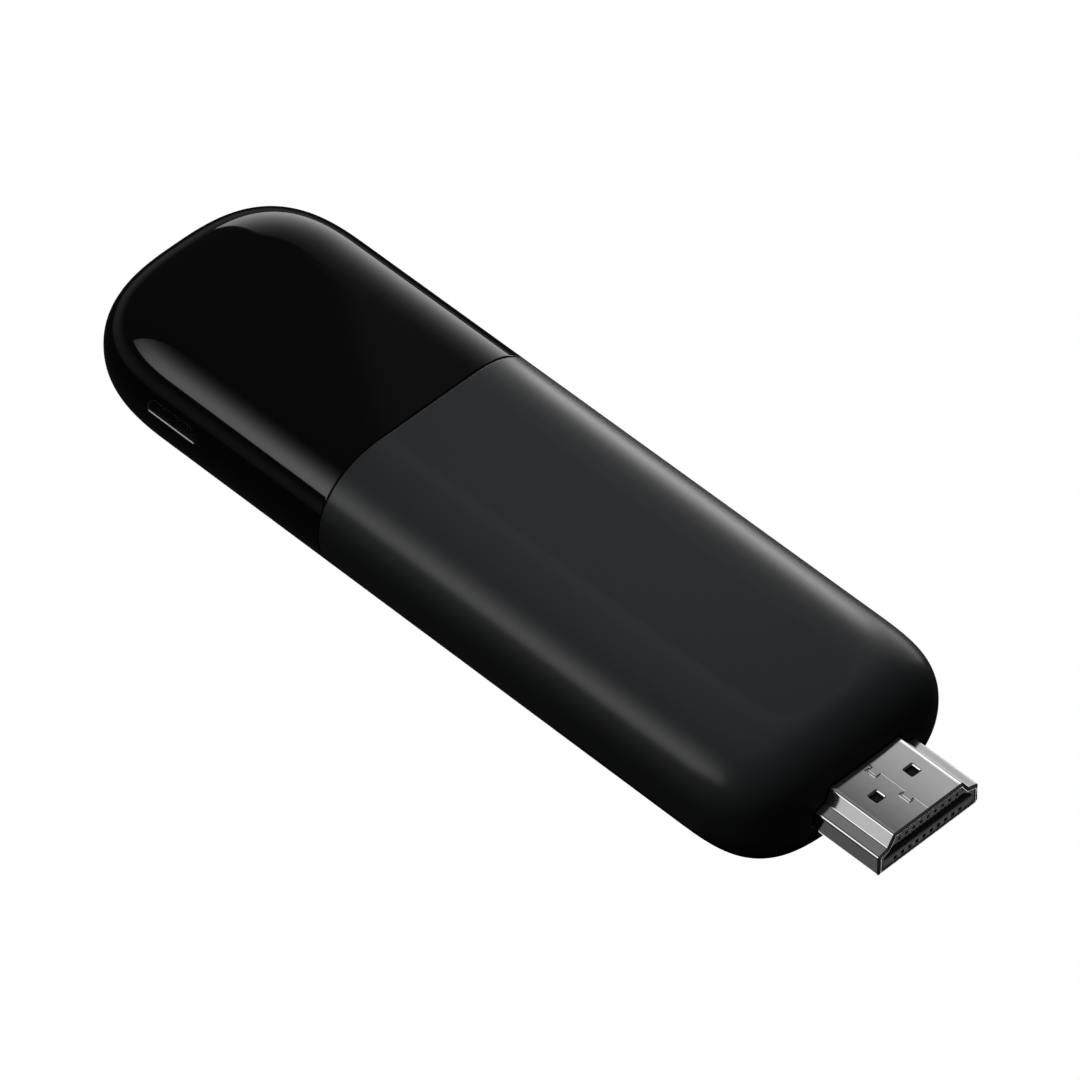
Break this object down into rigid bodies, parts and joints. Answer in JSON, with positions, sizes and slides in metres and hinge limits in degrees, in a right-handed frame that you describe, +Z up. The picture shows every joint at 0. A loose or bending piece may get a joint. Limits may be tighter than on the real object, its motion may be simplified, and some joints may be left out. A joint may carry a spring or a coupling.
{
  "type": "streaming media player",
  "caption": "Stick-shaped streaming media player: matte sleeve and gloss rear cap around a circuit board, video plug at the nose, small power socket in the side.",
  "frame": {"origin": "middle of the whole length and width, on the plane the underside rests on", "axes": "+X along the body towards the tip of the video plug, +Z up out of the top face, power socket in the -Y side"},
  "size_m": [0.1068, 0.03, 0.0154],
  "materials": {
    "matte_casing": "fine soft-touch matte black",
    "gloss_casing": "polished piano black",
    "tray_plastic": "moulded black",
    "board_laminate": "dark green solder mask",
    "screw_steel": "zinc plated",
    "plug_metal": "nickel-plated sheet steel, satin",
    "socket_metal": "nickel-plated sheet steel",
    "insert_plastic": "moulded black",
    "contact_metal": "gold flash",
    "tinned_sheet": "tinned sheet",
    "chip_resin": "moulded resin",
    "inductor_core": "pressed ferrite",
    "capacitor_ceramic": "tan ceramic with tinned ends",
    "thermal_pad": "soft grey-blue",
    "spreader_aluminium": "mill finish",
    "antenna_metal": "plated sheet"
  },
  "bodies": {
    "root": {"front_sleeve": "matte_casing", "rear_cap": "gloss_casing", "board_tray": "tray_plastic", "main_board": "board_laminate", "board_screws": "screw_steel", "plug_shell": "plug_metal", "plug_insulator": "insert_plastic", "plug_contacts_wide": "contact_metal", "plug_contacts_narrow": "contact_metal", "plug_bracket": "tinned_sheet", "socket_shell": "socket_metal", "socket_tongue": "insert_plastic", "socket_contacts": "contact_metal", "main_processor": "chip_resin", "memory_chips": "chip_resin", "flash_chip": "chip_resin", "power_controller": "chip_resin", "power_inductors": "inductor_core", "clock_crystals": "tinned_sheet", "top_capacitors": "capacitor_ceramic", "bottom_capacitors": "capacitor_ceramic", "chip_resistors": "chip_resin", "surge_protectors": "chip_resin", "wireless_chip": "chip_resin", "wireless_shield": "tinned_sheet", "shield_fence": "tinned_sheet", "shield_lid": "tinned_sheet", "bottom_shield": "tinned_sheet", "processor_pad": "thermal_pad", "lid_pad": "thermal_pad", "bottom_pad": "thermal_pad", "upper_heat_spreader": "spreader_aluminium", "lower_heat_spreader": "spreader_aluminium", "left_antenna": "antenna_metal", "right_antenna": "antenna_metal"}
  },
  "joints": []
}
